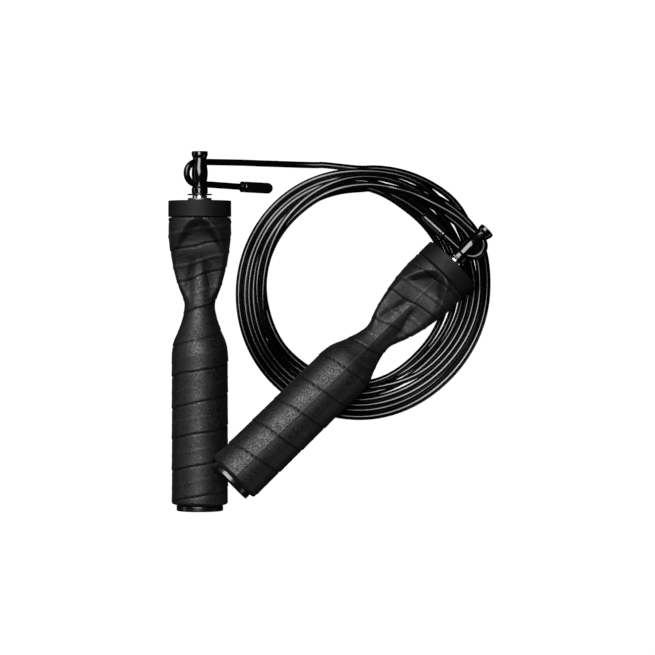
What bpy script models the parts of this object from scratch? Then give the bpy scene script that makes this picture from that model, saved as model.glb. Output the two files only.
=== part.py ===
"""Speed jump rope: two handles that spin on ball bearings, and one coated steel cable, coiled between them.

Metres, +Z up. The rope lies on the plane Z = 0. Handle A lies on that plane and points along +Y. Handle B lies
across it: its rear end is on handle A and its collar is on the coil. Each handle has a frame of its own, at the
front face of its collar: X up, Y to the handle's right, Z forwards along the axis that it spins about.
"""

import math

import bmesh
import bpy
import numpy as np
from mathutils import Matrix, Vector

# The whole rope
OBJECT_NAME = "jump_rope"
GAP = 0.0003  # left between pieces that touch
FIT = 0.00015  # left between a bearing ring and its seat

# Handle, measured back from the front face of the collar
GRIP_END = 0.150
GRIP_RADIUS = 0.0138
SHOULDER_RADIUS = 0.0153
WAIST_RADIUS = 0.0075
WAIST = 0.0515
EDGE_ROUNDING = 0.0016
COLLAR_RADIUS = 0.0155
COLLAR_LENGTH = 0.008
COLLAR_WALL = 0.002
COLLAR_CHAMFER = 0.0004
END_CAP_RADIUS = 0.0115
END_CAP_STAND_OUT = 0.0027

# Handle core, a moulded tube with a solid waist
CUP_RADIUS = 0.0090
CUP_END = 0.0175
CUP_FLOOR = 0.0190
ROD_RADIUS = 0.0036
ROD_START = 0.0270
ROD_END = 0.0660
TUBE_RADIUS = 0.0110
TUBE_BORE = 0.0092
TUBE_START = 0.0770
TUBE_FLOOR = 0.0840
PLUG_START = 0.1390

# Ball bearings, 5 x 16 x 5 mm
BEARING_RADIUS = 0.0080
BEARING_BORE = 0.0025
BEARING_WIDTH = 0.0050
BALLS = 7
BALL_RADIUS = 0.00145
BALL_CIRCLE = 0.0054
RACE_WALL = 0.0013
RACE_DEPTH = 0.0004
FRONT_BEARING = -(COLLAR_WALL + GAP + BEARING_WIDTH / 2)
BEARING_SPACING = 0.0084
REAR_BEARING = FRONT_BEARING - BEARING_SPACING

# Spindle, measured forwards from the front face of the collar
SPINDLE_TIP = 0.0248
SPINDLE_HEAD_RADIUS = 0.0039
SPINDLE_NECK_RADIUS = 0.0030
SPINDLE_SHOULDER = 0.0035
JOURNAL_RADIUS = BEARING_BORE - FIT
SPINDLE_END = -0.0180
UPPER_HOLE = 0.01905
LOWER_HOLE = 0.00797
HOLE_RADIUS = 0.00205

# Rope
ROPE_RADIUS = 0.0016
ROPE_CAP_RADIUS = 0.0027
ROPE_CAP_LENGTH = 0.0167
ROPE_CAP_BORE_DEPTH = 0.0090
LOOP_RADIUS = (UPPER_HOLE - LOWER_HOLE) / 2
LOOP_CENTRE = -0.00126

# Coil: turns of rope in two layers, slightly oval
COIL_CENTRE = (0.0161, 0.0198)
COIL_LONG_RADIUS = 0.0651
COIL_SHORT_RADIUS = 0.0624
COIL_BORE = 0.0410
COIL_HEIGHT = 4 * ROPE_RADIUS
COIL_LONG_AXIS = math.radians(45)

# Where the handles lie: the centre of each collar's front face, the way the spindle points (degrees from +X, and
# up), how far the grip is turned about its axis, and how far round the spindle the rope leaves it
HANDLE_PLACES = {
    "a": {"front": (-0.06427, 0.06402, 0.015606), "heading": 90.0, "rise": 0.69, "grip_turn": 0.0,
          "rope_turn": 21.3},
    "b": {"front": (0.05976, 0.03266, 0.0223), "heading": 44.25, "rise": -4.55, "grip_turn": 180.0,
          "rope_turn": 154.0},
}

# Facets round the turned pieces
FINE = 24
COARSE = 16

collection = None
cutters = None


def clear_scene():
    for thing in list(bpy.data.objects):
        bpy.data.objects.remove(thing, do_unlink=True)


def new_collection(name):
    made = bpy.data.collections.new(name)
    bpy.context.scene.collection.children.link(made)
    return made


def finish(name, color, roughness, metallic):
    """A material from its colour, roughness and metallic value."""
    material = bpy.data.materials.new(name)
    material.use_nodes = True
    shader = material.node_tree.nodes["Principled BSDF"]
    shader.inputs["Base Color"].default_value = (*color, 1.0)
    shader.inputs["Roughness"].default_value = roughness
    shader.inputs["Metallic"].default_value = metallic
    return material


def add_object(name, data, material, parent, place=None):
    thing = bpy.data.objects.new(name, data)
    if material is not None:
        data.materials.append(material)
    thing.parent = parent
    if place is not None:
        thing.matrix_local = place
    collection.objects.link(thing)
    return thing


def as_cutter(thing):
    """Moves a helper to the cutters' collection, out of the render."""
    collection.objects.unlink(thing)
    cutters.objects.link(thing)
    thing.hide_render = True
    thing.display_type = "WIRE"
    return thing


def boolean(thing, operation, other):
    modifier = thing.modifiers.new(operation.title(), "BOOLEAN")
    modifier.operation = operation
    modifier.solver = "EXACT"
    modifier.object = other


def turned(name, profile, material, parent, height=0.0, segments=COARSE):
    """A piece turned about its Z axis. The profile's (radius, height) points run down its outer side.

    A profile that starts and ends on the axis makes a solid piece. Any other is closed into a ring.
    """
    mesh = bpy.data.meshes.new(name)
    form = bmesh.new()
    points = [form.verts.new((radius, 0.0, z)) for radius, z in profile]
    for first, second in zip(points, points[1:]):
        form.edges.new((first, second))
    if profile[0][0] > 0:
        form.edges.new((points[-1], points[0]))
    form.to_mesh(mesh)
    form.free()
    thing = add_object(name, mesh, material, parent, Matrix.Translation((0.0, 0.0, height)))
    screw = thing.modifiers.new("Turn", "SCREW")
    screw.axis = "Z"
    screw.steps = segments
    screw.render_steps = segments
    screw.use_merge_vertices = True
    screw.merge_threshold = 0.00001
    screw.use_smooth_shade = True
    return thing


def ring_profile(outer, inner, top, bottom):
    return [(outer, top), (outer, bottom), (inner, bottom), (inner, top)]


def handle_frame(place):
    """The frame of a handle: X up, Y to its right, Z forwards."""
    heading = math.radians(place["heading"])
    rise = math.radians(place["rise"])
    forward = Vector((math.cos(heading) * math.cos(rise), math.sin(heading) * math.cos(rise), math.sin(rise)))
    right = forward.cross(Vector((0.0, 0.0, 1.0))).normalized()
    up = right.cross(forward)
    axes = Matrix((up, right, forward)).transposed().to_4x4()
    return Matrix.Translation(place["front"]) @ axes


def axis_empty(name, frame, parent=None):
    empty = bpy.data.objects.new(name, None)
    empty.empty_display_size = 0.02
    empty.parent = parent
    empty.matrix_local = frame
    collection.objects.link(empty)
    return empty


# Grip sleeve -----------------------------------------------------------------------------------------------

def smooth_through(outline, distance):
    """The radius at a distance, on a smooth curve through an outline's (distance, radius) points."""
    distances = [point[0] for point in outline]
    radii = [point[1] for point in outline]
    slopes = np.gradient(radii, distances)
    span = int(np.clip(np.searchsorted(distances, distance) - 1, 0, len(outline) - 2))
    width = distances[span + 1] - distances[span]
    t = (distance - distances[span]) / width
    start, end = radii[span], radii[span + 1]
    return (
        (2 * t**3 - 3 * t**2 + 1) * start
        + (t**3 - 2 * t**2 + t) * width * slopes[span]
        + (3 * t**2 - 2 * t**3) * end
        + (t**3 - t**2) * width * slopes[span + 1]
    )


GRIP_START = COLLAR_LENGTH + GAP
SIDE_OUTLINE = [
    (GRIP_START, SHOULDER_RADIUS), (0.018, SHOULDER_RADIUS), (0.026, 0.0143), (0.034, 0.0128), (0.042, 0.0106),
    (WAIST, WAIST_RADIUS), (0.057, 0.0083), (0.064, 0.0106), (0.070, 0.0130), (0.075, GRIP_RADIUS),
    (0.082, GRIP_RADIUS), (GRIP_END, GRIP_RADIUS),
]
# The thumb facets, one on the upper and one on the lower side, cut in from the collar to the waist
FACET_OUTLINE = [
    (GRIP_START, 0.0152), (0.012, 0.0140), (0.017, 0.0118), (0.023, 0.0096), (0.029, 0.0074), (0.036, 0.0056),
    (0.044, 0.0052), (WAIST, 0.0060),
]
# The round column that stands out of the facets and runs down through the waist
COLUMN_OUTLINE = [
    (0.025, 0.0040), (0.029, 0.0060), (0.036, 0.0065), (0.044, 0.0069), (WAIST, WAIST_RADIUS),
]


def rounded_max(first, second, width):
    """The larger of two radii, rounded over where they are nearly equal."""
    near = max(width - abs(first - second), 0.0)
    return max(first, second) + near * near / (4 * width)


def grip_radius(distance, angle):
    """The grip's radius, at a distance behind the collar's front and an angle from the middle of a facet."""
    side = smooth_through(SIDE_OUTLINE, distance)
    if distance >= WAIST:
        return side
    facet = smooth_through(FACET_OUTLINE, distance) / max(abs(math.cos(angle)), 0.2)
    column = smooth_through(COLUMN_OUTLINE, max(distance, COLUMN_OUTLINE[0][0]))
    scooped = -rounded_max(-side, -facet, EDGE_ROUNDING)
    return min(rounded_max(scooped, column, EDGE_ROUNDING), side)


def core_outline(offset):
    """The outer side of the handle core, this far out from it: the core's own side, or the sleeve's bore."""
    return [
        (CUP_RADIUS + offset, -CUP_END),
        (ROD_RADIUS + offset, -ROD_START),
        (ROD_RADIUS + offset, -ROD_END),
        (TUBE_RADIUS + offset, -TUBE_START),
    ]


def grip_sleeve(name, material, axis, turn):
    """The rubber sleeve: round sections lofted from the collar to the rear end, then bored to fit the core."""
    stations = [GRIP_START, 0.011, 0.014, 0.018, 0.022, 0.026, 0.030, 0.034, 0.038, 0.042, 0.047, WAIST, 0.054,
                0.057, 0.061, 0.065, 0.070, 0.075, 0.112, GRIP_END]
    mesh = bpy.data.meshes.new(name)
    form = bmesh.new()
    rings = []
    for distance in stations:
        angles = [2 * math.pi * step / FINE for step in range(FINE)]
        radii = [grip_radius(distance, angle) for angle in angles]
        rings.append([
            form.verts.new((radius * math.cos(angle), radius * math.sin(angle), -distance))
            for angle, radius in zip(angles, radii)
        ])
    for front, rear in zip(rings, rings[1:]):
        for step in range(FINE):
            after = (step + 1) % FINE
            form.faces.new((front[step], rear[step], rear[after], front[after]))
    form.faces.new(rings[0])
    form.faces.new(reversed(rings[-1]))
    bmesh.ops.recalc_face_normals(form, faces=form.faces)
    form.to_mesh(mesh)
    form.free()
    mesh.shade_smooth()
    mesh.set_sharp_from_angle(angle=math.radians(40))
    sleeve = add_object(name, mesh, material, axis, Matrix.Rotation(turn, 4, "Z"))
    over = 0.002
    bore = [(0.0, over), (CUP_RADIUS + GAP, over), *core_outline(GAP),
            (TUBE_RADIUS + GAP, -GRIP_END - over), (0.0, -GRIP_END - over)]
    boolean(sleeve, "DIFFERENCE", as_cutter(turned(name + "_bore", bore, None, axis, segments=20)))
    return sleeve


# Other pieces that turn with the hand ----------------------------------------------------------------------

def handle_core(name, material, axis):
    seat = BEARING_RADIUS + FIT
    step = REAR_BEARING - BEARING_WIDTH / 2 - GAP
    rim = -(COLLAR_WALL + GAP)
    profile = [
        (0.0, -CUP_FLOOR), (0.0072, -CUP_FLOOR), (0.0072, step), (seat, step), (seat, rim), (CUP_RADIUS, rim),
        *core_outline(0.0),
        (TUBE_RADIUS, GAP - GRIP_END), (TUBE_BORE, GAP - GRIP_END), (TUBE_BORE, -TUBE_FLOOR), (0.0, -TUBE_FLOOR),
    ]
    return turned(name, profile, material, axis, segments=20)


def head_collar(name, material, axis):
    """The cap over the front of the handle, bored for the dust shield and counterbored for the core."""
    bore = 0.0049
    profile = [
        (COLLAR_RADIUS - COLLAR_CHAMFER, 0.0), (COLLAR_RADIUS, -COLLAR_CHAMFER), (COLLAR_RADIUS, -COLLAR_LENGTH),
        (CUP_RADIUS + GAP, -COLLAR_LENGTH), (CUP_RADIUS + GAP, -COLLAR_WALL), (bore, -COLLAR_WALL), (bore, 0.0),
    ]
    return turned(name, profile, material, axis, segments=FINE)


def end_cap(name, material, axis):
    """The plug that closes the rear end, with a flange that stands out behind the grip."""
    plug = TUBE_BORE - GAP
    face = -GRIP_END - END_CAP_STAND_OUT
    edge = 0.0008
    profile = [
        (0.0, -PLUG_START), (plug, -PLUG_START), (plug, -GRIP_END), (END_CAP_RADIUS, -GRIP_END),
        (END_CAP_RADIUS, face + edge), (END_CAP_RADIUS - edge, face), (0.0, face),
    ]
    return turned(name, profile, material, axis, segments=FINE)


def dust_shield(name, material, axis):
    bore, spigot, flange = 0.0040, 0.0046, 0.00585
    thickness = 0.0010
    profile = [
        (flange, GAP + thickness), (flange, GAP), (spigot, GAP), (spigot, GAP - COLLAR_WALL),
        (bore, GAP - COLLAR_WALL), (bore, GAP + thickness),
    ]
    return turned(name, profile, material, axis)


# Bearings --------------------------------------------------------------------------------------------------

def race_profile(outer, inner, groove):
    """A bearing ring's section, with its ball groove in the outer (+1) or the inner (-1) face."""
    half = BEARING_WIDTH / 2
    lip = BALL_RADIUS * 0.75
    if groove > 0:
        return [(outer, half), (outer, lip), (outer - RACE_DEPTH, 0.0), (outer, -lip), (outer, -half),
                (inner, -half), (inner, half)]
    return [(outer, half), (outer, -half), (inner, -half), (inner, -lip), (inner + RACE_DEPTH, 0.0),
            (inner, lip), (inner, half)]


def ball_cage(name, material, axis, height):
    """The balls in their cage, as one piece: a band through the middle of a ring of balls."""
    half_band = 0.0004
    half_height = 0.0007
    band = ring_profile(BALL_CIRCLE + half_band, BALL_CIRCLE - half_band, half_height, -half_height)
    cage = turned(name, band, material, axis, height, segments=2 * BALLS)
    mesh = bpy.data.meshes.new(name + "_balls")
    form = bmesh.new()
    for ball in range(BALLS):
        angle = 2 * math.pi * ball / BALLS
        centre = (BALL_CIRCLE * math.cos(angle), BALL_CIRCLE * math.sin(angle), 0.0)
        place = Matrix.Translation(centre) @ Matrix.Rotation(angle, 4, "Z")
        bmesh.ops.create_uvsphere(form, u_segments=8, v_segments=5, radius=BALL_RADIUS, matrix=place)
    form.to_mesh(mesh)
    form.free()
    balls = as_cutter(add_object(name + "_balls", mesh, None, axis, Matrix.Translation((0.0, 0.0, height))))
    boolean(cage, "UNION", balls)
    return cage


def bearing(side, where, axis, height, materials):
    outer_bore = BEARING_RADIUS - RACE_WALL
    inner_side = BEARING_BORE + RACE_WALL + 0.0003
    turned(f"{where}_bearing_outer_{side}", race_profile(BEARING_RADIUS, outer_bore, -1),
           materials["bearing_steel"], axis, height)
    turned(f"{where}_bearing_inner_{side}", race_profile(inner_side, BEARING_BORE, 1),
           materials["bearing_steel"], axis, height)
    ball_cage(f"{where}_ball_cage_{side}", materials["ball_steel"], axis, height)


# Spindle and what is on it ---------------------------------------------------------------------------------

def spindle(name, material, rope_axis):
    """Head, neck, barrel and base, cross-drilled twice for the rope, on a long journal with a clip groove."""
    neck, head = SPINDLE_NECK_RADIUS, SPINDLE_HEAD_RADIUS
    groove_top, groove_bottom, groove = -0.0159, -0.0170, 0.0019
    profile = [
        (0.0, SPINDLE_TIP), (0.0033, SPINDLE_TIP), (head, 0.0242), (head, 0.0229), (0.0034, 0.0215),
        (neck, 0.0208), (neck, 0.0166), (0.0035, 0.0156), (0.00385, 0.0135), (0.0035, 0.0114), (neck, 0.0103),
        (neck, 0.0074), (head, 0.0066), (head, SPINDLE_SHOULDER), (JOURNAL_RADIUS, SPINDLE_SHOULDER),
        (JOURNAL_RADIUS, groove_top), (groove, groove_top), (groove, groove_bottom),
        (JOURNAL_RADIUS, groove_bottom), (JOURNAL_RADIUS, SPINDLE_END), (0.0, SPINDLE_END),
    ]
    piece = turned(name, profile, material, rope_axis)
    for label, height in (("upper", UPPER_HOLE), ("lower", LOWER_HOLE)):
        mesh = bpy.data.meshes.new(f"{name}_{label}_drill")
        form = bmesh.new()
        along_y = Matrix.Rotation(math.pi / 2, 4, "X")
        bmesh.ops.create_cone(form, cap_ends=True, segments=14, radius1=HOLE_RADIUS, radius2=HOLE_RADIUS,
                              depth=0.02, matrix=along_y)
        form.to_mesh(mesh)
        form.free()
        place = Matrix.Translation((0.0, 0.0, height))
        boolean(piece, "DIFFERENCE", as_cutter(add_object(mesh.name, mesh, None, rope_axis, place)))
    return piece


def retaining_clip(name, material, axis):
    """A ring with a gap in it, in the groove behind the rear bearing."""
    clip = turned(name, ring_profile(0.0036, 0.0021, -0.0162, -0.0168), material, axis, segments=18)
    mesh = bpy.data.meshes.new(name + "_slot")
    form = bmesh.new()
    size = Matrix.Diagonal((0.004, 0.0022, 0.004, 1.0))
    bmesh.ops.create_cube(form, size=1.0, matrix=Matrix.Translation((0.003, 0.0, -0.0165)) @ size)
    form.to_mesh(mesh)
    form.free()
    boolean(clip, "DIFFERENCE", as_cutter(add_object(mesh.name, mesh, None, axis)))
    return clip


def handle(side, place, materials):
    """One whole handle. Returns the frame that the rope is threaded in: Y is the way the rope leaves."""
    frame = handle_frame(place)
    axis = axis_empty(f"spin_axis_{side}", frame)
    rope_turn = Matrix.Rotation(math.radians(place["rope_turn"]), 4, "Z")
    rope_axis = axis_empty(f"rope_axis_{side}", rope_turn, axis)

    grip_sleeve(f"grip_sleeve_{side}", materials["grip_rubber"], axis, math.radians(place["grip_turn"]))
    handle_core(f"handle_core_{side}", materials["core_plastic"], axis)
    head_collar(f"head_collar_{side}", materials["collar_plastic"], axis)
    end_cap(f"end_cap_{side}", materials["cap_plastic"], axis)
    dust_shield(f"dust_shield_{side}", materials["shield_steel"], axis)

    bearing(side, "front", axis, FRONT_BEARING, materials)
    bearing(side, "rear", axis, REAR_BEARING, materials)

    spindle(f"spindle_{side}", materials["spindle_black"], rope_axis)
    washer = ring_profile(0.00605, BEARING_BORE, 0.0033, 0.0027)
    turned(f"thrust_washer_{side}", washer, materials["spindle_black"], axis)
    bush = ring_profile(0.00365, BEARING_BORE, 0.0025, -COLLAR_WALL)
    turned(f"nose_bush_{side}", bush, materials["bush_chrome"], axis)
    reach = BEARING_WIDTH / 2 + GAP
    spacer = ring_profile(0.0040, BEARING_BORE, FRONT_BEARING - reach, REAR_BEARING + reach)
    turned(f"bearing_spacer_{side}", spacer, materials["bearing_steel"], axis)
    retaining_clip(f"retaining_clip_{side}", materials["bearing_steel"], axis)
    return frame @ rope_turn


# Rope ------------------------------------------------------------------------------------------------------

# Each route runs from the rope's end, through the lower hole, round the loop and out of the upper hole. The
# tail's points are (across, along) in the rope's frame on that handle, and the lead's are (x, y, z).
TAILS = {
    "a": [(0.0295, 0.00676), (0.0215, 0.00706), (0.0130, 0.00752), (0.0060, 0.0079)],
    "b": [(0.0217, LOWER_HOLE), (0.0140, LOWER_HOLE), (0.0060, LOWER_HOLE)],
}
LEADS = {
    "a": [(-0.0569, 0.0831, 0.01305), (-0.0495, 0.0831, 0.0103), (-0.0422, 0.08305, 0.0079),
          (-0.0348, 0.08285, 0.0058), (-0.0274, 0.0827, 0.0041), (-0.02, 0.0825, 0.0028),
          (-0.0126, 0.0823, 0.002), (-0.0061, 0.0822, 0.0017), (-0.0028, 0.0822, 0.00165)],
    "b": [(0.0674, 0.0516, 0.017), (0.06385, 0.055, 0.0147), (0.0585, 0.0587, 0.0119),
          (0.0532, 0.0618, 0.01), (0.0478, 0.0647, 0.0089), (0.0429, 0.0671, 0.0084),
          (0.0374, 0.069, 0.0083), (0.032, 0.0703, 0.0083)],
}
CAP_MOUTHS = {"a": (0.0215, 0.00706), "b": (0.0137, LOWER_HOLE)}
CAP_TIPS = {"a": (0.0382, 0.0064), "b": (0.0304, LOWER_HOLE)}


def rope_route(side, rope_frame):
    """The route's own points, in world space."""
    flat = list(TAILS[side])
    flat += [(0.003, LOWER_HOLE), (0.0, LOWER_HOLE)]
    middle = LOWER_HOLE + LOOP_RADIUS
    for step in range(9):
        angle = math.pi * step / 8
        flat.append((LOOP_CENTRE - LOOP_RADIUS * math.sin(angle), middle - LOOP_RADIUS * math.cos(angle)))
    flat += [(0.0, UPPER_HOLE), (0.003, UPPER_HOLE)]
    route = [rope_frame @ Vector((0.0, across, along)) for across, along in flat]
    return route + [Vector(point) for point in LEADS[side]]


def smooth_curve(route, spacing):
    """Points along a smooth curve through the route's points, about this far apart."""
    points = [2 * route[0] - route[1], *route, 2 * route[-1] - route[-2]]
    smooth = []
    for before, start, end, after in zip(points, points[1:], points[2:], points[3:]):
        steps = max(1, round((end - start).length / spacing))
        for step in range(steps):
            t = step / steps
            smooth.append(0.5 * (
                2 * start + (end - before) * t + (2 * before - 5 * start + 4 * end - after) * t**2
                + (3 * start - before - 3 * end + after) * t**3
            ))
    return smooth + [route[-1]]


def rope_tube(name, material, route):
    curve = bpy.data.curves.new(name, "CURVE")
    curve.dimensions = "3D"
    curve.bevel_depth = ROPE_RADIUS
    curve.bevel_resolution = 2
    curve.use_fill_caps = True
    points = smooth_curve(route, 5 * ROPE_RADIUS)
    spline = curve.splines.new("POLY")
    spline.points.add(len(points) - 1)
    for point, place in zip(spline.points, points):
        point.co = (*place, 1.0)
    spline.use_smooth = True
    return add_object(name, curve, material, None)


def rope_end_cap(name, material, rope_frame, mouth, tip):
    """The sleeve crimped on the rope's end: open at its mouth and round at its tip."""
    start = rope_frame @ Vector((0.0, *mouth))
    end = rope_frame @ Vector((0.0, *tip))
    bore = ROPE_RADIUS + GAP
    radius, length = ROPE_CAP_RADIUS, ROPE_CAP_LENGTH
    profile = [
        (0.0, length), (radius * 0.5, length - 0.0004), (radius * 0.87, length - 0.0014),
        (radius, length - radius), (radius, 0.0), (bore, 0.0), (bore, ROPE_CAP_BORE_DEPTH),
        (0.0, ROPE_CAP_BORE_DEPTH),
    ]
    facing = (end - start).to_track_quat("Z", "Y").to_matrix().to_4x4()
    cap = turned(name, profile, material, None, segments=12)
    cap.matrix_local = Matrix.Translation(start) @ facing
    return cap


def rope_coil(name, material):
    """The outside of the coiled turns, as one ring."""
    half = COIL_HEIGHT / 2
    edge = ROPE_RADIUS * 0.6
    outer, inner = COIL_LONG_RADIUS, COIL_BORE
    profile = [
        (outer - edge, half), (outer, half - edge), (outer, edge - half), (outer - edge, -half),
        (inner + edge, -half), (inner, edge - half), (inner, half - edge), (inner + edge, half),
    ]
    coil = turned(name, profile, material, None, segments=40)
    oval = Matrix.Diagonal((1.0, COIL_SHORT_RADIUS / COIL_LONG_RADIUS, 1.0, 1.0))
    turn = Matrix.Rotation(COIL_LONG_AXIS, 4, "Z")
    coil.matrix_local = Matrix.Translation(Vector((*COIL_CENTRE, half))) @ turn @ oval
    return coil


def main():
    global collection, cutters
    clear_scene()
    collection = new_collection(OBJECT_NAME)
    cutters = new_collection("cutters")
    materials = {
        "grip_rubber": finish("grip_rubber", (0.018, 0.018, 0.020), 0.60, 0.0),
        "core_plastic": finish("core_plastic", (0.030, 0.030, 0.032), 0.50, 0.0),
        "collar_plastic": finish("collar_plastic", (0.022, 0.023, 0.028), 0.45, 0.0),
        "cap_plastic": finish("cap_plastic", (0.010, 0.010, 0.010), 0.20, 0.0),
        "shield_steel": finish("shield_steel", (0.30, 0.30, 0.31), 0.40, 1.0),
        "bearing_steel": finish("bearing_steel", (0.55, 0.56, 0.58), 0.25, 1.0),
        "ball_steel": finish("ball_steel", (0.70, 0.70, 0.72), 0.10, 1.0),
        "spindle_black": finish("spindle_black", (0.012, 0.012, 0.013), 0.18, 0.6),
        "bush_chrome": finish("bush_chrome", (0.80, 0.79, 0.76), 0.15, 1.0),
        "rope_pvc": finish("rope_pvc", (0.008, 0.008, 0.009), 0.15, 0.0),
        "rope_cap_plastic": finish("rope_cap_plastic", (0.010, 0.010, 0.011), 0.25, 0.0),
    }
    for side, place in HANDLE_PLACES.items():
        rope_frame = handle(side, place, materials)
        rope_tube(f"rope_lead_{side}", materials["rope_pvc"], rope_route(side, rope_frame))
        rope_end_cap(f"rope_end_cap_{side}", materials["rope_cap_plastic"], rope_frame, CAP_MOUTHS[side],
                     CAP_TIPS[side])
    rope_coil("rope_coil", materials["rope_pvc"])


main()
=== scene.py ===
"""The looks of a speed jump rope: two waisted rubber grips that spin on bearings, and one coated cable in a coil.

Metres, +Z up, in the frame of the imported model. Handle A lies on the floor and points along +Y. Handle B lies
across it, with its collar on the coil. Each handle has a frame of its own at the front face of its collar: X up,
Y to the handle's right, Z forwards. A distance on a handle is measured back from that face.
"""

import math

import bmesh
import bpy
import numpy as np
from mathutils import Matrix, Vector


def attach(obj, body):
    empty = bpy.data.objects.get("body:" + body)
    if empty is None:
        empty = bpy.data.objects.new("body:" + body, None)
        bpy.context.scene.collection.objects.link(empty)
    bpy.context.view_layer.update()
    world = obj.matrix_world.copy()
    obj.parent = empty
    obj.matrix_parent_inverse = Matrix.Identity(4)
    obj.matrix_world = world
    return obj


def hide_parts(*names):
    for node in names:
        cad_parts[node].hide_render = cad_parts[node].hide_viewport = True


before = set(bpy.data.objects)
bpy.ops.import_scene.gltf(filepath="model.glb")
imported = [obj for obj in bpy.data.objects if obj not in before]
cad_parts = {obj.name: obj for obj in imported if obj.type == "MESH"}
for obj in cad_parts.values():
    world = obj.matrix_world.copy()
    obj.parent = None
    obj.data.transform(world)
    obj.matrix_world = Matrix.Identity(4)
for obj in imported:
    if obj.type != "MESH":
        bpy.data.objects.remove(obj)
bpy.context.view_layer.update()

MM = 0.001
GAP = 0.0003
ON_AXIS = 1e-6

# Handles
COLLAR_LENGTH = 0.008
GRIP_START = COLLAR_LENGTH + GAP
GRIP_END = 0.150
GRIP_RADIUS = 0.0138
SHOULDER_RADIUS = 0.0153
WAIST = 0.0515
WAIST_RADIUS = 0.0075
EDGE_ROUNDING = 0.0016
HANDLE_PLACES = {
    "a": {"front": (-0.06427, 0.06402, 0.015606), "heading": 90.0, "rise": 0.69, "grip_turn": 0.0,
          "rope_turn": 21.3, "wrap_start": 0.0218},
    "b": {"front": (0.05976, 0.03266, 0.0223), "heading": 44.25, "rise": -4.55, "grip_turn": 180.0,
          "rope_turn": 154.0, "wrap_start": 0.0204},
}

# Rope
ROPE_RADIUS = 0.0016
UPPER_HOLE = 0.01905
LOWER_HOLE = 0.00797
HOLE_RADIUS = 0.00205
LOOP_RADIUS = (UPPER_HOLE - LOWER_HOLE) / 2
LOOP_CENTRE = -0.00126
COIL_CENTRE = (0.0161, 0.0198)
ROPE_POINT_SPACING = 0.0013


# Materials -------------------------------------------------------------------------------------------------

class Finish:
    """A procedural material: a Principled BSDF, with helpers that add patterns to it."""

    def __init__(self, name, color, roughness, metallic=0.0, coat=0.0, coat_roughness=0.1):
        self.material = bpy.data.materials.new(name)
        self.material.use_nodes = True
        self.nodes = self.material.node_tree.nodes
        self.links = self.material.node_tree.links
        self.shader = self.nodes["Principled BSDF"]
        self.shader.inputs["Base Color"].default_value = (*color, 1.0)
        self.shader.inputs["Roughness"].default_value = roughness
        self.shader.inputs["Metallic"].default_value = metallic
        self.shader.inputs["Coat Weight"].default_value = coat
        self.shader.inputs["Coat Roughness"].default_value = coat_roughness
        self.shader.inputs["IOR"].default_value = 1.5
        self.place = self.nodes.new("ShaderNodeTexCoord").outputs["Object"]

    def noise(self, scale, detail=3.0, distortion=0.0):
        """A cloudy pattern; its features are about 1 / scale metres across."""
        node = self.nodes.new("ShaderNodeTexNoise")
        node.inputs["Scale"].default_value = scale
        node.inputs["Detail"].default_value = detail
        node.inputs["Distortion"].default_value = distortion
        self.links.new(self.place, node.inputs["Vector"])
        return node.outputs["Fac"]

    def cells(self, scale):
        """How far each point is from the edge of its cell; about scale cells lie along a metre."""
        node = self.nodes.new("ShaderNodeTexVoronoi")
        node.feature = "DISTANCE_TO_EDGE"
        node.inputs["Scale"].default_value = scale
        self.links.new(self.place, node.inputs["Vector"])
        return node.outputs["Distance"]

    def turning_marks(self, scale):
        """Fine rings round a turned piece, from the way along its outline that turned_mesh() stores."""
        way = self.nodes.new("ShaderNodeAttribute")
        way.attribute_name = "along"
        node = self.nodes.new("ShaderNodeTexNoise")
        node.noise_dimensions = "1D"
        node.inputs["Scale"].default_value = scale
        node.inputs["Detail"].default_value = 2.0
        self.links.new(way.outputs["Fac"], node.inputs["W"])
        return node.outputs["Fac"]

    def stored(self, name):
        """A value that the mesh carries for each of its points."""
        node = self.nodes.new("ShaderNodeAttribute")
        node.attribute_name = name
        return node.outputs["Fac"]

    def spread(self, value, low, high, start=0.3, end=0.7):
        """The value from start to end, stretched to run from low to high."""
        node = self.nodes.new("ShaderNodeMapRange")
        self.links.new(value, node.inputs["Value"])
        for name, number in (("From Min", start), ("From Max", end), ("To Min", low), ("To Max", high)):
            node.inputs[name].default_value = number
        return node.outputs["Result"]

    def add(self, first, second):
        node = self.nodes.new("ShaderNodeMath")
        node.operation = "ADD"
        self.links.new(first, node.inputs[0])
        self.links.new(second, node.inputs[1])
        return node.outputs["Value"]

    def blend_color(self, share, first, second):
        """The colour first where share is 0 and second where it is 1. A colour may be a socket."""
        node = self.nodes.new("ShaderNodeMix")
        node.data_type = "RGBA"
        self.links.new(share, node.inputs["Factor"])
        colors = [socket for socket in node.inputs if socket.type == "RGBA"]
        for socket, color in zip(colors, (first, second)):
            if isinstance(color, tuple):
                socket.default_value = (*color, 1.0)
            else:
                self.links.new(color, socket)
        return next(socket for socket in node.outputs if socket.type == "RGBA")

    def set(self, socket, value):
        self.links.new(value, self.shader.inputs[socket])

    def bump(self, height, distance, strength):
        """Relief of this depth. Each call lies on top of the ones before."""
        node = self.nodes.new("ShaderNodeBump")
        node.inputs["Strength"].default_value = strength
        node.inputs["Distance"].default_value = distance
        self.links.new(height, node.inputs["Height"])
        normal = self.shader.inputs["Normal"]
        if normal.is_linked:
            self.links.new(normal.links[0].from_socket, node.inputs["Normal"])
        self.links.new(node.outputs["Normal"], normal)


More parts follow.
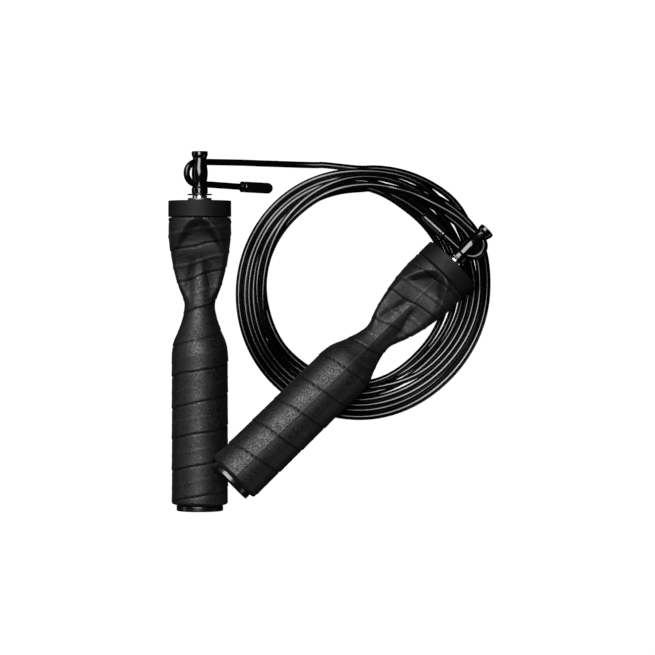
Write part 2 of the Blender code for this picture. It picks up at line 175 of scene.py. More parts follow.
def grip_rubber():
    """Matte moulded rubber with a leather-like grain, with painted shade in its grooves and hollows and a painted
    highlight on its creases, rim and seam.
    """
    finish = Finish("grip_rubber", (0.004, 0.004, 0.004), 0.66)
    finish.shader.inputs["Sheen Weight"].default_value = 0.015
    finish.shader.inputs["Sheen Roughness"].default_value = 0.4
    cloud = finish.spread(finish.noise(70.0, 4.0), 0.0, 1.0)
    color = finish.blend_color(cloud, (0.0004, 0.0004, 0.0004), (0.0016, 0.0016, 0.0017))
    # Painted shade: a darker colour in the grooves, the hollows and the crescent inside the rim
    color = finish.blend_color(finish.stored("painted_shade"), color, (0.0003, 0.0003, 0.0003))
    # Painted highlight: a paler colour on the creases, the rim and the seam
    color = finish.blend_color(finish.stored("painted_highlight"), color, (0.0120, 0.0120, 0.0122))
    finish.set("Base Color", color)
    # The painted shade also weakens the reflection in the recesses
    finish.set("Specular IOR Level", finish.spread(finish.stored("painted_shade"), 0.50, 0.08, 0.0, 1.0))
    grain = finish.cells(2100.0)
    patches = finish.spread(finish.noise(260.0, 3.0), 0.46, 0.56)
    specks = finish.spread(finish.noise(1400.0, 2.0), -0.16, 0.20, 0.35, 0.65)
    finish.set("Roughness", finish.add(patches, specks))
    finish.bump(finish.noise(420.0, 3.0), 0.00010, 0.6)
    finish.bump(finish.noise(1300.0, 2.0), 0.00009, 0.8)
    finish.bump(finish.spread(grain, 0.0, 1.0, 0.0, 0.45), 0.00003, 0.8)
    return finish.material


def collar_plastic():
    """Satin moulded plastic, a little blue, with a fine spark-eroded texture."""
    finish = Finish("collar_plastic", (0.005, 0.0055, 0.008), 0.6)
    finish.shader.inputs["Specular IOR Level"].default_value = 0.22
    cloud = finish.spread(finish.noise(90.0, 3.0), 0.0, 1.0)
    finish.set("Base Color", finish.blend_color(cloud, (0.0016, 0.0018, 0.0032), (0.0026, 0.0028, 0.0044)))
    finish.set("Roughness", finish.spread(finish.noise(350.0, 4.0), 0.56, 0.66))
    finish.bump(finish.noise(3800.0, 2.0), 0.00001, 0.6)
    finish.bump(finish.noise(150.0, 2.0), 0.00006, 0.2)
    return finish.material


def gloss_plastic(name, color, roughness):
    """Smooth black plastic with faint flow marks and scuffs."""
    finish = Finish(name, color, roughness, coat=0.35, coat_roughness=0.05)
    tone = tuple(value * 1.8 for value in color)
    finish.set("Base Color", finish.blend_color(finish.spread(finish.noise(120.0), 0.0, 1.0), color, tone))
    finish.set("Roughness", finish.spread(finish.noise(600.0, 5.0, 0.4), roughness - 0.03, roughness + 0.05))
    finish.bump(finish.noise(210.0, 2.0), 0.00004, 0.2)
    finish.bump(finish.noise(3000.0, 2.0), 0.000003, 0.3)
    return finish.material


def rope_pvc():
    """Gloss black coating over a laid steel cable, which shows through as a faint unevenness. How much it
    reflects varies along it, as on a coating that is scuffed in places."""
    finish = Finish("rope_pvc", (0.001, 0.001, 0.001), 0.12, coat=0.25, coat_roughness=0.05)
    cloud = finish.spread(finish.noise(45.0, 3.0), 0.0, 1.0)
    finish.set("Base Color", finish.blend_color(cloud, (0.0004, 0.0004, 0.0005), (0.0012, 0.0012, 0.0014)))
    finish.set("Roughness", finish.spread(finish.noise(300.0, 5.0, 0.5), 0.09, 0.16))
    finish.bump(finish.noise(140.0, 2.0), 0.00005, 0.35)
    finish.bump(finish.noise(1500.0, 2.0), 0.00001, 0.4)
    finish.set("Specular IOR Level", finish.spread(finish.noise(22.0, 2.0), 0.10, 0.60, 0.35, 0.65))
    finish.set("Coat Weight", finish.spread(finish.noise(31.0, 2.0), 0.02, 0.25, 0.35, 0.65))
    return finish.material


def turned_metal(name, color, roughness, metallic=1.0, coat=0.0, marks=0.000006):
    """A finish from a lathe, on metal or black plating: fine rings, a little variation in tone, light scuffs."""
    finish = Finish(name, color, roughness, metallic, coat)
    darker = tuple(value * 0.75 for value in color)
    finish.set("Base Color", finish.blend_color(finish.spread(finish.noise(300.0, 4.0), 0.0, 1.0), darker, color))
    rough = finish.spread(finish.turning_marks(9000.0), roughness - 0.04, roughness + 0.06)
    finish.set("Roughness", rough)
    finish.bump(finish.turning_marks(6000.0), marks, 0.6)
    finish.bump(finish.noise(900.0, 3.0), 0.000003, 0.4)
    return finish.material


# Mesh helpers ----------------------------------------------------------------------------------------------

def handle_frame(place):
    """From a handle's own frame to the model's: X up, Y to the handle's right, Z forwards."""
    heading = math.radians(place["heading"])
    rise = math.radians(place["rise"])
    forward = Vector((math.cos(heading) * math.cos(rise), math.sin(heading) * math.cos(rise), math.sin(rise)))
    right = forward.cross(Vector((0.0, 0.0, 1.0))).normalized()
    up = right.cross(forward)
    axes = Matrix((up, right, forward)).transposed().to_4x4()
    return Matrix.Translation(place["front"]) @ axes


def add_piece(name, mesh, material, body, slot, *nodes):
    """An object for a finished mesh, which stands for these CAD nodes and rides on their body."""
    thing = bpy.data.objects.new(name, mesh)
    mesh.materials.append(material)
    bpy.context.scene.collection.objects.link(thing)
    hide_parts(*nodes)
    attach(thing, body)
    return thing


NEARLY_STRAIGHT = math.radians(172)


def soften(profile, radius, closed, steps=4):
    """The outline with an arc in place of each corner that isn't on the axis."""
    points = [Vector(point) for point in profile]
    count = len(points)
    rounded = []
    for index, corner in enumerate(points):
        at_end = not closed and index in (0, count - 1)
        if at_end or corner.x < ON_AXIS:
            rounded.append(corner)
            continue
        before = points[index - 1] - corner
        after = points[(index + 1) % count] - corner
        bend = before.angle(after)
        if bend > NEARLY_STRAIGHT:
            rounded.append(corner)
            continue
        reach = min(radius / math.tan(bend / 2), before.length * 0.45, after.length * 0.45)
        start = corner + before.normalized() * reach
        end = corner + after.normalized() * reach
        for step in range(steps + 1):
            t = step / steps
            rounded.append((1 - t) ** 2 * start + 2 * t * (1 - t) * corner + t**2 * end)
    return rounded


def turned_mesh(name, profile, radius, steps=96):
    """A turned mesh about Z from (radius, height) points, which run down its outer side. The way along the
    outline is stored as "along"."""
    closed = profile[0][0] > 0
    outline = soften(profile, radius, closed)
    form = bmesh.new()
    along = form.verts.layers.float.new("along")
    rings = []
    way = 0.0
    for index, point in enumerate(outline):
        way += (point - outline[index - 1]).length if index else 0.0
        if point.x < ON_AXIS:
            ring = [form.verts.new((0.0, 0.0, point.y))]
        else:
            turns = [2 * math.pi * step / steps for step in range(steps)]
            ring = [form.verts.new((point.x * math.cos(t), point.x * math.sin(t), point.y)) for t in turns]
        for corner in ring:
            corner[along] = way
        rings.append(ring)
    pairs = list(zip(rings, rings[1:]))
    if closed:
        pairs.append((rings[-1], rings[0]))
    for upper, lower in pairs:
        for step in range(steps):
            after = (step + 1) % steps
            corners = [upper[step % len(upper)], lower[step % len(lower)], lower[after % len(lower)],
                       upper[after % len(upper)]]
            form.faces.new(list(dict.fromkeys(corners)))
    bmesh.ops.recalc_face_normals(form, faces=form.faces)
    mesh = bpy.data.meshes.new(name)
    form.to_mesh(mesh)
    form.free()
    return mesh


def smooth(mesh, angle):
    """Smooth shading, apart from edges sharper than this many degrees."""
    mesh.shade_smooth()
    mesh.set_sharp_from_angle(angle=math.radians(angle))


def crisp_normals(thing):
    """Keeps flat faces flat beside their rounded edges."""
    modifier = thing.modifiers.new("Normals", "WEIGHTED_NORMAL")
    modifier.weight = 90
    modifier.keep_sharp = True


def turned_piece(name, profile, place, material, body, slot, node, radius, steps=96):
    """A piece that is one turned mesh, with its corners rounded to this radius."""
    mesh = turned_mesh(name, profile, radius, steps)
    mesh.transform(place)
    smooth(mesh, 35)
    thing = add_piece(name, mesh, material, body, slot, node)
    crisp_normals(thing)
    return thing


# Grips -----------------------------------------------------------------------------------------------------

# Radii along the grip, as (distance, radius): the round, the facets' height, and the columns' height
SIDE_OUTLINE = [
    (GRIP_START, SHOULDER_RADIUS), (0.018, SHOULDER_RADIUS), (0.026, 0.0143), (0.034, 0.0128), (0.042, 0.0106),
    (WAIST, WAIST_RADIUS), (0.057, 0.0083), (0.064, 0.0106), (0.070, 0.0130), (0.075, GRIP_RADIUS),
    (0.082, GRIP_RADIUS), (GRIP_END, GRIP_RADIUS),
]
FACET_OUTLINE = [
    (GRIP_START, 0.0152), (0.012, 0.0140), (0.017, 0.0118), (0.023, 0.0096), (0.029, 0.0074), (0.036, 0.0056),
    (0.044, 0.0052), (WAIST, 0.0060),
]
COLUMN_OUTLINE = [
    (0.025, 0.0040), (0.029, 0.0060), (0.036, 0.0065), (0.044, 0.0069), (WAIST, WAIST_RADIUS),
]
WRAP_PITCH = 0.0154
# The bore round the core, as (radius, distance) from the rear end to the front
CORE_BORE = [(0.0113, GRIP_END), (0.0113, 0.077), (0.0039, 0.066), (0.0039, 0.027), (0.0093, 0.0175),
             (0.0093, GRIP_START)]


def smooth_through(outline, distance):
    """The radii at these distances, on a smooth curve through an outline's (distance, radius) points."""
    distances = np.array([point[0] for point in outline])
    radii = np.array([point[1] for point in outline])
    slopes = np.gradient(radii, distances)
    span = np.clip(np.searchsorted(distances, distance) - 1, 0, len(outline) - 2)
    width = distances[span + 1] - distances[span]
    t = (distance - distances[span]) / width
    return (
        (2 * t**3 - 3 * t**2 + 1) * radii[span]
        + (t**3 - 2 * t**2 + t) * width * slopes[span]
        + (3 * t**2 - 2 * t**3) * radii[span + 1]
        + (t**3 - t**2) * width * slopes[span + 1]
    )


def rounded_max(first, second, width):
    """The larger of two values, with a rounded changeover where they are closer than this."""
    near = np.maximum(width - np.abs(first - second), 0.0)
    return np.maximum(first, second) + near * near / (4 * width)


def smooth_step(value, start, end):
    t = np.clip((value - start) / (end - start), 0.0, 1.0)
    return t * t * (3 - 2 * t)


def bell(value, width):
    return np.exp(-(value / width) ** 2)


def grip_form(distance, angle):
    """The grip's plain radius: a waisted round, cut by a thumb facet above and below, with a column in each."""
    side = smooth_through(SIDE_OUTLINE, distance)
    facet = smooth_through(FACET_OUTLINE, np.minimum(distance, WAIST)) / np.maximum(np.abs(np.cos(angle)), 0.2)
    column = smooth_through(COLUMN_OUTLINE, np.clip(distance, COLUMN_OUTLINE[0][0], WAIST))
    scooped = -rounded_max(-side, -facet, EDGE_ROUNDING)
    cut = np.minimum(rounded_max(scooped, column, EDGE_ROUNDING * 0.6), side)
    return np.where(distance >= WAIST, side, cut)


def grip_detail(distance, angle, wrap_start):
    """The grip's full radius, then how much painted shade each point gets in a recess and how much painted highlight
    it gets on a crease, rim or seam, from 0 to 1.
    """
    radius = grip_form(distance, angle)
    across = np.abs(radius * np.sin(angle))
    # A single strip wrapped round: a groove where one turn meets the next, a lip on its collar side, and a crease
    # halfway, which is fainter from the waist back
    wander = 0.00025 * np.sin(2 * angle + 190 * distance) + 0.00012 * np.sin(5 * angle - 310 * distance)
    helix = (distance - wrap_start + wander) / WRAP_PITCH + angle / (2 * math.pi)
    back = (helix - np.round(helix)) * WRAP_PITCH
    groove = bell(back, 0.00045)
    lip = np.where(back < 0, np.exp(-np.abs(back) / 0.0030), 0.0) * (1 - groove)
    crease = bell(np.abs(back) - WRAP_PITCH / 2, 0.00065) * (1 - 0.7 * smooth_step(distance, 0.028, 0.060))
    # An arched rim behind the collar, with a thumb scoop inside it, on each facet
    arch = distance - (0.0088 + 0.0130 * (across / 0.011) ** 2)
    facing = smooth_step(np.abs(np.cos(angle)), 0.35, 0.6) * (1 - smooth_step(distance, 0.020, 0.029))
    scoop = smooth_step(arch, -0.0015, 0.0050) * (1 - smooth_step(distance, 0.016, 0.030)) * facing
    rim = bell(arch + 0.0010, 0.0016) * facing
    # A hollow along both sides of the column, which widens towards the waist
    beside = 0.0034 + 0.0036 * smooth_step(distance, 0.029, 0.047)
    hollow = bell(across - beside, 0.0016)
    hollow = hollow * smooth_step(distance, 0.027, 0.033) * (1 - smooth_step(distance, 0.042, WAIST))
    # The mould's seam: along the whole of one side, and only faint on the other side's facet
    faint = 0.35 * (1 - smooth_step(distance, 0.028, 0.034))
    seam = bell(across, 0.00038) * np.where(np.cos(angle) < 0, 1.0, faint)
    relief = (
        -0.00030 * groove + 0.00026 * lip + 0.00030 * crease - 0.00130 * scoop + 0.00040 * rim
        - 0.00075 * hollow * np.abs(np.cos(angle)) + 0.00013 * seam
    )
    # Painted shade darkens the recesses, with the crescent just inside the rim. Painted highlight lightens the
    # creases, rim and seam.
    crescent = bell(arch - 0.0026, 0.0026) * facing
    painted_shade = np.clip(0.6 * groove + 0.6 * crescent + 0.65 * hollow, 0, 1)
    painted_highlight = np.clip(0.7 * crease + 0.15 * rim + 0.8 * seam, 0, 1)
    # All of it fades in behind the collar
    calm = smooth_step(distance, GRIP_START, GRIP_START + 0.0015)
    return radius + relief * calm, painted_shade * calm, painted_highlight * calm


def grip_piece(side, place, grip_frame, material):
    """The rubber sleeve: fine rings from the collar to the rounded rear end, and back along its bore."""
    columns, ring_spacing = 200, 0.00052
    front_rounding, end_rounding, end_steps = 0.0005, 0.0014, 6
    distances = np.arange(GRIP_START, GRIP_END - end_rounding, ring_spacing)
    angles = np.linspace(0.0, 2 * math.pi, columns, endpoint=False)
    angles = np.where(angles > math.pi, angles - 2 * math.pi, angles)
    rings, painted_shades, painted_highlights = [], [], []
    for distance in distances:
        radii, painted_shade, painted_highlight = grip_detail(np.full(columns, distance), angles, place["wrap_start"])
        edge = front_rounding * (1 - smooth_step(distance, GRIP_START, GRIP_START + 0.0006)) ** 2
        rings.append((distance, radii - edge))
        painted_shades.append(painted_shade)
        painted_highlights.append(painted_highlight)
    last = rings[-1][1]
    for step in range(1, end_steps + 1):
        bend = math.pi / 2 * step / end_steps
        rings.append((distances[-1] + end_rounding * math.sin(bend), last - end_rounding * (1 - math.cos(bend))))
    for radius, distance in CORE_BORE:
        rings.append((distance, np.full(columns, radius)))
    plain = [np.zeros(columns)] * (len(rings) - len(painted_shades))
    painted_shades, painted_highlights = np.concatenate(painted_shades + plain), np.concatenate(painted_highlights + plain)

    points = np.concatenate([
        np.stack([radii * np.cos(angles), radii * np.sin(angles), np.full(columns, -distance)], axis=1)
        for distance, radii in rings
    ])
    corner = np.arange(len(rings) * columns).reshape(len(rings), columns)
    after = np.roll(corner, -1, axis=1)
    following = np.roll(corner, -1, axis=0)
    faces = np.stack([corner, following, np.roll(following, -1, axis=1), after], axis=-1).reshape(-1, 4)
    mesh = bpy.data.meshes.new(f"grip_{side}")
    mesh.from_pydata(points.tolist(), [], faces.tolist())
    # Each point carries its painted shade and painted highlight for the material
    for name, values in (("painted_shade", painted_shades), ("painted_highlight", painted_highlights)):
        mesh.attributes.new(name, "FLOAT", "POINT").data.foreach_set("value", values.astype(np.float32))
    mesh.transform(grip_frame)
    smooth(mesh, 50)
    return add_piece(f"grip_{side}", mesh, material, f"handle_{side}", "grip_rubber", f"grip_sleeve_{side}")


# Turned pieces of a handle ---------------------------------------------------------------------------------

def collar_profile():
    outer, bore, cup = 0.0155, 0.0049, 0.0093
    wall = 0.002
    return [(outer, 0.0), (outer, -COLLAR_LENGTH), (cup, -COLLAR_LENGTH), (cup, -wall), (bore, -wall),
            (bore, 0.0)]


def end_cap_profile():
    """A plug with a flange, whose outer face is dished inside a raised rim."""
    plug, flange, face = 0.0089, 0.0115, -0.1527
    return [(0.0, -0.139), (plug, -0.139), (plug, -GRIP_END), (flange, -GRIP_END), (flange, face),
            (0.0088, face), (0.0080, face + 0.0006), (0.0, face + 0.0006)]


def shield_profile():
    return [(0.00585, 0.0013), (0.00585, 0.0003), (0.0046, 0.0003), (0.0046, -0.0017), (0.0040, -0.0017),
            (0.0040, 0.0013)]


def washer_profile():
    return [(0.00605, 0.0033), (0.00605, 0.0027), (0.0025, 0.0027), (0.0025, 0.0033)]


def bush_profile():
    return [(0.00365, 0.0025), (0.00365, -0.002), (0.0025, -0.002), (0.0025, 0.0025)]


def spindle_profile():
    """Head, neck, long barrel and base on a journal with a groove for the clip."""
    head, neck, base, journal = 0.0040, 0.0034, 0.0040, 0.00235
    swell, swell_width = 0.0006, 0.0038
    middle = (UPPER_HOLE + LOWER_HOLE) / 2
    heights = [0.0207 - 0.0137 * step / 20 for step in range(21)]
    barrel = [(neck + swell * math.exp(-((height - middle) / swell_width) ** 2), height) for height in heights]
    return [
        (0.0, 0.0243), (head - 0.0002, 0.0243), (head, 0.0240), (head, 0.0224), (neck + 0.0002, 0.0214),
        (neck, 0.0209), *barrel, (base, 0.0060), (base, 0.0035), (journal, 0.0035),
        (journal, -0.0159), (0.0019, -0.0159), (0.0019, -0.0170), (journal, -0.0170), (journal, -0.0180),
        (0.0, -0.0180),
    ]


def spindle_piece(side, rope_frame, material):
    """The spindle, cross-drilled twice for the rope."""
    body = bpy.data.objects.new(f"rope_post_{side}", turned_mesh(f"rope_post_{side}", spindle_profile(), 0.00035, 72))
    bpy.context.scene.collection.objects.link(body)
    cutters = []
    for height in (LOWER_HOLE, UPPER_HOLE):
        form = bmesh.new()
        place = Matrix.Translation((0.0, 0.0, height)) @ Matrix.Rotation(math.pi / 2, 4, "X")
        bmesh.ops.create_cone(form, cap_ends=True, segments=40, radius1=HOLE_RADIUS, radius2=HOLE_RADIUS,
                              depth=0.02, matrix=place)
        mesh = bpy.data.meshes.new("drill")
        form.to_mesh(mesh)
        form.free()
        cutter = bpy.data.objects.new("drill", mesh)
        bpy.context.scene.collection.objects.link(cutter)
        cut = body.modifiers.new("Drill", "BOOLEAN")
        cut.object = cutter
        cutters.append(cutter)
    bpy.context.view_layer.update()
    mesh = bpy.data.meshes.new_from_object(body.evaluated_get(bpy.context.evaluated_depsgraph_get()))
    for thing in [body, *cutters]:
        bpy.data.objects.remove(thing)
    mesh.transform(rope_frame)
    smooth(mesh, 35)
    thing = add_piece(f"rope_post_{side}", mesh, material, "rope", "spindle_black", f"spindle_{side}")
    crisp_normals(thing)
    return thing


# Rope ------------------------------------------------------------------------------------------------------

# Each route runs from the rope's end, through the lower hole, round the loop and out of the upper hole. The
# tail's points are (across, along) in the rope's frame on that handle, and the lead's are (x, y, z).
TAILS = {
    "a": [(0.0295, 0.00676), (0.0215, 0.00706), (0.0130, 0.00752), (0.0060, 0.0079)],
    "b": [(0.0217, LOWER_HOLE), (0.0140, LOWER_HOLE), (0.0060, LOWER_HOLE)],
}
LEADS = {
    "a": [(-0.0569, 0.0831, 0.01305), (-0.0495, 0.0831, 0.0103), (-0.0422, 0.08305, 0.0079),
          (-0.0348, 0.08285, 0.0058), (-0.0274, 0.0827, 0.0041), (-0.02, 0.0825, 0.0028),
          (-0.0126, 0.0823, 0.002), (-0.0061, 0.0822, 0.0017), (-0.0028, 0.0822, 0.00165)],
    "b": [(0.0674, 0.0516, 0.017), (0.06385, 0.055, 0.0147), (0.0585, 0.0587, 0.0119),
          (0.0532, 0.0618, 0.01), (0.0478, 0.0647, 0.0089), (0.0429, 0.0671, 0.0084),
          (0.0374, 0.069, 0.0083), (0.032, 0.0703, 0.0083)],
}
CAP_MOUTHS = {"a": (0.0215, 0.00706), "b": (0.0137, LOWER_HOLE)}
CAP_TIPS = {"a": (0.0382, 0.0064), "b": (0.0304, LOWER_HOLE)}

# The coil, wound clockwise from the top: how far each turn is from the coil's centre, in millimetres, at these
# angles past the top. It is laid by hand, so the turns wander over each other.
TURN_ANGLES = (0, 30, 45, 60, 90, 135, 180, 225, 270, 315)
TURNS = (
    (60.4, 62.3, 62.6, 61.4, 59.6, 57.9, 59.5, 60.3, 58.8, 57.9),
    (56.9, 57.0, 59.6, 62.5, 60.7, 59.6, 62.2, 62.1, 60.8, 59.7),
    (59.6, 60.2, 58.6, 56.3, 55.0, 52.6, 53.4, 55.2, 54.0, 53.9),
    (52.0, 48.6, 48.0, 47.1, 46.0, 44.5, 46.6, 48.6, 50.6, 52.0),
    (52.0, 53.0, 55.5, 58.8, 58.2, 56.0, 56.7, 58.0, 56.4, 55.8),
    (53.8, 51.4, 51.2, 50.3, 49.6, 47.5, 50.4, 52.6, 49.0, 51.6),
    (56.2, 56.4, 54.8, 53.4, 52.8, 50.2, 47.9, 50.2, 52.0, 52.8),
    (51.8, 46.2, 44.8, 43.9, 42.0, 41.7, 47.0, 48.2, 50.2, 51.6),
)
LAST_TURN_END = ((0, 52.5), (17.5, 52.9))
STEP_ANGLE = 5
TUCKS = ((2410, 2505, 1.6), (2770, 2860, 2.6))  # from, to, and how many turns each was tucked under
TUCK_FADE = 30  # the rope goes under and comes up again over this angle
COIL_START_RADIUS = 0.0612
COIL_END_HEIGHTS = (0.00165, 0.0083)
SETTLE_STEPS = 1500
SINK_PER_STEP = 0.00003
PUSHES_PER_STEP = 3
PUSH_SHARE = 0.3  # of an overlap that one push takes away, on each side
STRAY_KEPT = 0.95  # of a turn's offset from its own radius, after each step
LEVELLING_PASSES = 8


def rope_route(side, rope_frame):
    """Points from the rope's end on one handle, round the loop and along the lead to the coil."""
    flat = [*TAILS[side], (0.003, LOWER_HOLE), (0.0, LOWER_HOLE)]
    middle = LOWER_HOLE + LOOP_RADIUS
    for step in range(9):
        angle = math.pi * step / 8
        flat.append((LOOP_CENTRE - LOOP_RADIUS * math.sin(angle), middle - LOOP_RADIUS * math.cos(angle)))
    flat += [(0.0, UPPER_HOLE), (0.003, UPPER_HOLE)]
    route = [rope_frame @ Vector((0.0, across, along)) for across, along in flat]
    return route + [Vector(point) for point in LEADS[side]]


def coil_radii(turned):
    """The distance from the coil's centre at each angle that the rope has turned through, in degrees."""
    knots = [(360 * turn + angle, radius) for turn, radii in enumerate(TURNS)
             for angle, radius in zip(TURN_ANGLES, radii)]
    knots += [(360 * len(TURNS) + angle, radius) for angle, radius in LAST_TURN_END]
    radii = smooth_through(knots, np.maximum(turned, 0.0)) * MM
    radii[0] = COIL_START_RADIUS
    return radii


def settle(turned, target):
    """The coil's radii and heights once every turn has sunk onto the ones laid before it.

    The turns start apart, in the order in which they were laid. They sink step by step, and two that touch push
    each other away. Each stays smooth and close to its own radius. Points at the same angle are compared. At the
    end the heights are levelled a little along the rope.
    """
    laid = turned / 360
    for start, end, depth in TUCKS:
        share = np.clip(np.minimum(turned - start + TUCK_FADE, end + TUCK_FADE - turned) / TUCK_FADE, 0, 1)
        laid = laid - depth * share**2 * (3 - 2 * share)
    radii = target.copy()
    heights = ROPE_RADIUS + 2 * ROPE_RADIUS * np.maximum(laid, 0)
    per_turn = 360 // STEP_ANGLE
    index = np.arange(len(turned))
    lower = np.concatenate([index[:-lag * per_turn] for lag in range(1, len(TURNS) + 1)])
    upper = np.concatenate([index[lag * per_turn:] for lag in range(1, len(TURNS) + 1)])
    kernel = np.array([1, 4, 6, 4, 1]) / 16
    for _ in range(SETTLE_STEPS):
        heights = heights - SINK_PER_STEP
        for _ in range(PUSHES_PER_STEP):
            across, rise = radii[upper] - radii[lower], heights[upper] - heights[lower]
            apart = np.maximum(np.hypot(across, rise), 1e-9)
            push = np.where(apart < 2 * ROPE_RADIUS, PUSH_SHARE * (2 * ROPE_RADIUS - apart) / apart, 0.0)
            for moved, share in ((radii, push * across), (heights, push * rise)):
                np.add.at(moved, lower, -share)
                np.add.at(moved, upper, share)
            heights = np.maximum(heights, ROPE_RADIUS)
        strayed = np.convolve(np.pad(radii - target, 2), kernel, "valid") * STRAY_KEPT
        strayed[0] = 0.0
        strayed[-3:] *= 0.3
        radii = target + strayed
        ends = [COIL_END_HEIGHTS[0]] * 2, heights, [COIL_END_HEIGHTS[1]] * 2
        heights = np.maximum(np.convolve(np.concatenate(ends), kernel, "valid"), ROPE_RADIUS)
    for _ in range(LEVELLING_PASSES):
        heights = np.convolve(np.pad(heights, 2, "edge"), kernel, "valid")
    return radii, heights


def coil_points():
    """The settled coil's points, from the first turn's start to where handle B's lead begins."""
    turned = np.arange(-STEP_ANGLE, 360 * len(TURNS) + 16, STEP_ANGLE).astype(float)
    radii, heights = settle(turned, coil_radii(turned))
    points = []
    for angle, radius, height in zip(turned, radii, heights):
        azimuth = math.radians(90 - angle)
        points.append(Vector((
            COIL_CENTRE[0] + radius * math.cos(azimuth), COIL_CENTRE[1] + radius * math.sin(azimuth), height,
        )))
    return points


def smooth_curve(route, spacing):
    """Points along a smooth curve through the route's points, this far apart or closer."""
    points = [2 * route[0] - route[1], *route, 2 * route[-1] - route[-2]]
    line = []
    for before, start, end, after in zip(points, points[1:], points[2:], points[3:]):
        steps = max(1, math.ceil((end - start).length / spacing))
        for step in range(steps):
            t = step / steps
            line.append(0.5 * (
                2 * start + (end - before) * t + (2 * before - 5 * start + 4 * end - after) * t**2
                + (3 * start - before - 3 * end + after) * t**3
            ))
    return line + [route[-1]]


def rope_piece(rope_frames, material):
    """The whole rope as one tube, from inside one end cap to inside the other."""
    route = rope_route("a", rope_frames["a"]) + coil_points() + rope_route("b", rope_frames["b"])[::-1]
    line = smooth_curve(route, ROPE_POINT_SPACING)
    curve = bpy.data.curves.new("cable", "CURVE")
    curve.dimensions = "3D"
    curve.bevel_depth = ROPE_RADIUS
    curve.bevel_resolution = 8
    curve.use_fill_caps = True
    spline = curve.splines.new("POLY")
    spline.points.add(len(line) - 1)
    for point, place in zip(spline.points, line):
        point.co = (*place, 1.0)
    spline.use_smooth = True
    curve.materials.append(material)
    cable = bpy.data.objects.new("cable", curve)
    bpy.context.scene.collection.objects.link(cable)
    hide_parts("rope_lead_a", "rope_coil", "rope_lead_b")
    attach(cable, "rope")
    total = sum((second - first).length for first, second in zip(line, line[1:]))
    print(f"rope length {total:.4f} m, {len(line)} points")
    return cable


def rope_cap_piece(side, rope_frame, material):
    """The sleeve on the rope's end, with a bead at its mouth and a round tip."""
    start = rope_frame @ Vector((0.0, *CAP_MOUTHS[side]))
    end = rope_frame @ Vector((0.0, *CAP_TIPS[side]))
    length, radius, bore = 0.0167, 0.0027, 0.0019
    tip = [(radius * math.cos(math.radians(a)), length - radius + radius * math.sin(math.radians(a)))
           for a in (90, 75, 60, 45, 30, 15, 0)]
    profile = [(0.0, length), *tip[1:], (radius, 0.0022), (0.00255, 0.0019), (0.00255, 0.0015), (radius, 0.0012),
               (radius, 0.0), (bore, 0.0), (bore, 0.009), (0.0, 0.009)]
    facing = (end - start).to_track_quat("Z", "Y").to_matrix().to_4x4()
    place = Matrix.Translation(start) @ facing
    return turned_piece(f"rope_tip_{side}", profile, place, material, "rope", "rope_cap_plastic",
                        f"rope_end_cap_{side}", radius=0.0002, steps=64)


# Putting it together ---------------------------------------------------------------------------------------

def repaint(node, material):
    """A CAD node that keeps its shape gets a finished material."""
    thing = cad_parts[node]
    for slot in thing.material_slots:
        slot.material = material
    if not thing.material_slots:
        thing.data.materials.append(material)


def build_handle(side, place, materials):
    """All of one handle's visible pieces. Returns the frame that its rope is threaded in."""
    hand = handle_frame(place)
    rope_frame = hand @ Matrix.Rotation(math.radians(place["rope_turn"]), 4, "Z")
    body = f"handle_{side}"
    grip_frame = hand @ Matrix.Rotation(math.radians(place["grip_turn"]), 4, "Z")
    grip_piece(side, place, grip_frame, materials["grip_rubber"])
    turned_piece(f"collar_{side}", collar_profile(), hand, materials["collar_plastic"], body, "collar_plastic",
                 f"head_collar_{side}", radius=0.00045, steps=128)
    turned_piece(f"butt_cap_{side}", end_cap_profile(), hand, materials["cap_plastic"], body, "cap_plastic",
                 f"end_cap_{side}", radius=0.0006, steps=112)
    turned_piece(f"shield_{side}", shield_profile(), hand, materials["shield_steel"], body, "shield_steel",
                 f"dust_shield_{side}", radius=0.0001)
    turned_piece(f"washer_{side}", washer_profile(), hand, materials["spindle_black"], "rope", "spindle_black",
                 f"thrust_washer_{side}", radius=0.0001)
    turned_piece(f"bush_{side}", bush_profile(), hand, materials["bush_chrome"], "rope", "bush_chrome",
                 f"nose_bush_{side}", radius=0.0003)
    spindle_piece(side, rope_frame, materials["spindle_black"])
    for name in ("front_bearing_outer", "rear_bearing_outer", "front_bearing_inner", "rear_bearing_inner",
                 "bearing_spacer", "retaining_clip"):
        repaint(f"{name}_{side}", materials["bearing_steel"])
    for name in ("front_ball_cage", "rear_ball_cage"):
        repaint(f"{name}_{side}", materials["ball_steel"])
    repaint(f"handle_core_{side}", materials["core_plastic"])
    return rope_frame


def make_materials():
    return {
        "grip_rubber": grip_rubber(),
        "collar_plastic": collar_plastic(),
        "cap_plastic": gloss_plastic("cap_plastic", (0.0012, 0.0012, 0.0014), 0.28),
        "core_plastic": gloss_plastic("core_plastic", (0.0200, 0.0200, 0.0210), 0.45),
        "rope_cap_plastic": gloss_plastic("rope_cap_plastic", (0.0008, 0.0008, 0.0009), 0.16),
        "rope_pvc": rope_pvc(),
        "spindle_black": turned_metal("spindle_black", (0.0012, 0.0012, 0.0014), 0.10, metallic=0.0, coat=0.15,
                                      marks=0.000001),
        "shield_steel": turned_metal("shield_steel", (0.20, 0.20, 0.21), 0.42),
        "bush_chrome": turned_metal("bush_chrome", (0.86, 0.82, 0.74), 0.16, marks=0.000003),
        "bearing_steel": turned_metal("bearing_steel", (0.55, 0.56, 0.58), 0.26),
        "ball_steel": turned_metal("ball_steel", (0.72, 0.72, 0.74), 0.12),
    }


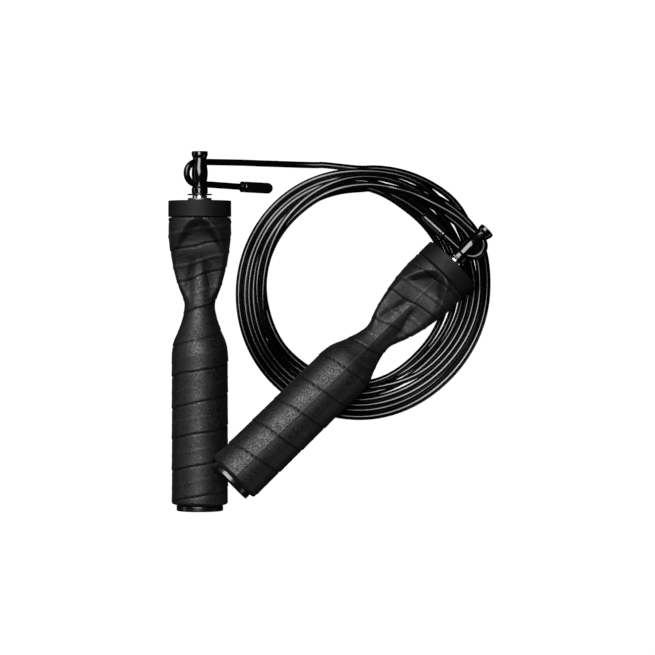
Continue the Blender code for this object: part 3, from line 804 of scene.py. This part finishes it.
def build_floor():
    """A plain round sweep: a flat floor that rises into a wall a long way off. It glows white, and it is hidden from
    reflections, bounced light and shadow rays, so it only shows as a backdrop."""
    reach, wall = 3.0, 4.0
    below = 0.0002
    steps = 64
    form = bmesh.new()
    rings = []
    turns = [2 * math.pi * step / steps for step in range(steps)]
    for radius, height in ((reach, 0.0), (reach + 0.3, 0.1), (reach + 0.4, 0.4), (reach + 0.4, wall)):
        rings.append([form.verts.new((radius * math.cos(t), radius * math.sin(t), height - below)) for t in turns])
    form.faces.new(rings[0])
    for inner, outer in zip(rings, rings[1:]):
        for step in range(steps):
            after = (step + 1) % steps
            form.faces.new((inner[step], outer[step], outer[after], inner[after]))
    mesh = bpy.data.meshes.new("floor")
    form.to_mesh(mesh)
    form.free()
    floor = bpy.data.objects.new("floor", mesh)
    bpy.context.scene.collection.objects.link(floor)
    finish = Finish("floor_paper", (0.05, 0.05, 0.05), 0.9)
    finish.set("Base Color", finish.blend_color(finish.noise(30.0), (0.04, 0.04, 0.04), (0.05, 0.05, 0.05)))
    finish.shader.inputs["Emission Color"].default_value = (1.0, 1.0, 1.0, 1.0)
    finish.shader.inputs["Emission Strength"].default_value = 1.0
    floor.data.materials.append(finish.material)
    floor.visible_glossy = False
    floor.visible_diffuse = False
    floor.visible_shadow = False


def area_light(name, azimuth, tilt, distance, size, power):
    """A soft box above the object, this far round from +X and down from the vertical, in degrees."""
    light = bpy.data.lights.new(name, "AREA")
    light.shape = "RECTANGLE"
    light.size, light.size_y = size
    light.energy = power
    lamp = bpy.data.objects.new(name, light)
    around, down = math.radians(azimuth), math.radians(tilt)
    towards = Vector((math.cos(around) * math.sin(down), math.sin(around) * math.sin(down), math.cos(down)))
    lamp.location = towards * distance
    lamp.rotation_euler = towards.to_track_quat("Z", "Y").to_euler()
    bpy.context.scene.collection.objects.link(lamp)


def build_lights():
    """A long key overhead, a low strip on each side, and a very dim surround."""
    area_light("key", 126.0, 28.0, 1.2, (0.60, 1.20), 24.0)
    area_light("rim_left", 168.0, 80.0, 1.2, (1.2, 0.3), 1.2)
    area_light("rim_right", -40.0, 80.0, 1.2, (1.2, 0.3), 1.2)
    world = bpy.data.worlds.new("studio")
    world.use_nodes = True
    world.node_tree.nodes["Background"].inputs["Color"].default_value = (1.0, 1.0, 1.0, 1.0)
    world.node_tree.nodes["Background"].inputs["Strength"].default_value = 0.012
    bpy.context.scene.world = world


def build_camera():
    """Straight above, a long way off."""
    camera = bpy.data.cameras.new("camera")
    camera.sensor_width = 36.0
    camera.lens = 176.96
    camera.clip_start, camera.clip_end = 0.1, 10.0
    seer = bpy.data.objects.new("camera", camera)
    seer.location = (-0.0014, 0.0016, 1.6)
    bpy.context.scene.collection.objects.link(seer)
    bpy.context.scene.camera = seer


def main():
    materials = make_materials()
    rope_frames = {side: build_handle(side, place, materials) for side, place in HANDLE_PLACES.items()}
    caps = [rope_cap_piece(side, place, materials["rope_cap_plastic"]) for side, place in rope_frames.items()]
    rope_piece(rope_frames, materials["rope_pvc"])
    build_floor()
    build_lights()
    build_camera()
    bpy.context.scene.view_settings.view_transform = "Standard"


main()
